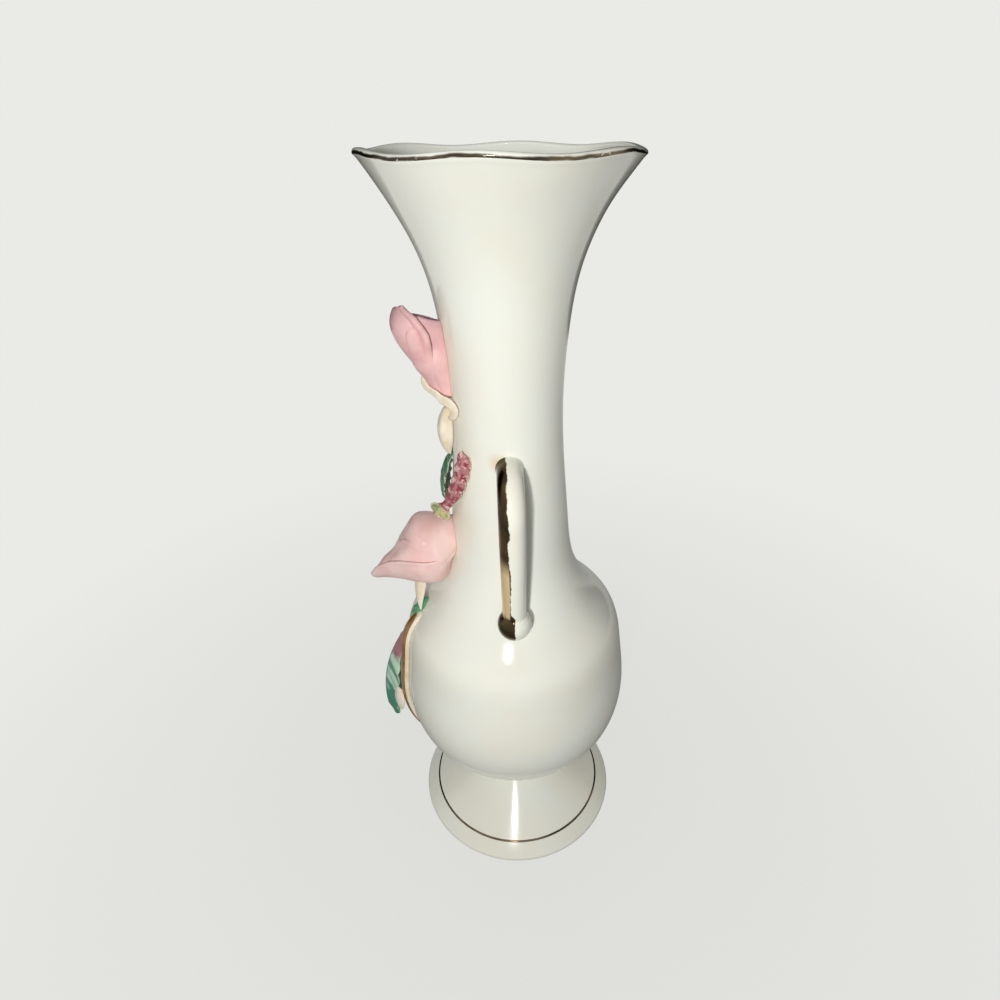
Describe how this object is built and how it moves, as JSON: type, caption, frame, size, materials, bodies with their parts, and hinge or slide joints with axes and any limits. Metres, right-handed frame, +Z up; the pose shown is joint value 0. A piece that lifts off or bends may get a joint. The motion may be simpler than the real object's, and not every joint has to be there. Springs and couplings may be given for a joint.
{
  "type": "footed vase",
  "caption": "Footed ivory porcelain vase with a trumpet neck, round body, ear handles ending in balls, gilded lip and foot line, and a spray of applied rosebuds and leaves down the front.",
  "frame": {"origin": "middle of the foot ring, on the surface that the vase stands on", "axes": "+Z up along the axis of the turned body; the applied spray faces -Y, the front; the handles stand at -X and +X"},
  "size_m": [0.064, 0.0727, 0.1912],
  "materials": {
    "ivory_glaze": "glossy ivory glaze",
    "handle_glaze": "glossy ivory glaze, gilded on the front half",
    "gilding": "worn gilt line",
    "pink_glaze": "satin pink glaze",
    "cream_glaze": "glossy cream glaze",
    "crimson_glaze": "glossy crimson, green and yellow brushwork",
    "green_glaze": "glossy green glaze",
    "teal_glaze": "glossy teal and mauve brushwork"
  },
  "bodies": {
    "root": {"cream_leaf": "cream_glaze", "crimson_leaf": "crimson_glaze", "foot_gilding": "gilding", "green_leaf": "green_glaze", "handle_ball_left": "handle_glaze", "handle_ball_right": "handle_glaze", "handle_left": "handle_glaze", "handle_right": "handle_glaze", "hanging_sepal": "cream_glaze", "lower_rose_heart": "pink_glaze", "lower_rose_petal_1": "pink_glaze", "lower_rose_petal_2": "pink_glaze", "lower_rose_petal_3": "pink_glaze", "lower_rose_petal_4": "pink_glaze", "lower_rose_sepal_1": "cream_glaze", "pedestal_foot": "ivory_glaze", "rim_gilding": "gilding", "small_leaf": "teal_glaze", "stem": "cream_glaze", "stem_gilding": "gilding", "stem_leaf": "cream_glaze", "teal_leaf": "teal_glaze", "upper_rose_heart": "pink_glaze", "upper_rose_petal_1": "pink_glaze", "upper_rose_petal_2": "pink_glaze", "upper_rose_petal_3": "pink_glaze", "upper_rose_sepal_1": "cream_glaze", "upper_rose_sepal_2": "cream_glaze", "upper_rose_sepal_3": "cream_glaze", "vase_body": "ivory_glaze"}
  },
  "joints": []
}
